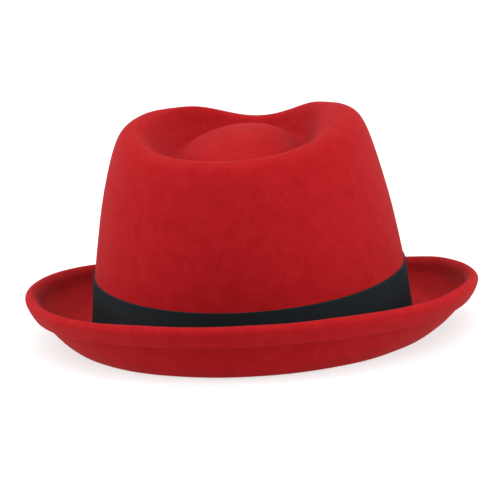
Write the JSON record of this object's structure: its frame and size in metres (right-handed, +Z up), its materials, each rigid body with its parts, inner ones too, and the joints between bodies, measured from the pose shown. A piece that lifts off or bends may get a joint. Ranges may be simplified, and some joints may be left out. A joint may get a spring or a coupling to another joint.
{
  "type": "felt fedora with a ribbon band",
  "caption": "Felt fedora with a tapered, centre-dented crown, a valley in front, a raised lip all round the brim and a flat grosgrain ribbon band.",
  "frame": {"origin": "on the surface that the hat rests on, under the middle of its outline", "axes": "+Z up, +Y towards the wearer's back, +X towards the wearer's left"},
  "size_m": [0.249, 0.2785, 0.122],
  "materials": {
    "red_felt": "matt wool felt with a short, brushed nap",
    "black_ribbon": "black grosgrain ribbon with fine upright ribs and a dull sheen"
  },
  "bodies": {
    "root": {"felt_body": "red_felt", "ribbon_band": "black_ribbon"}
  },
  "joints": []
}
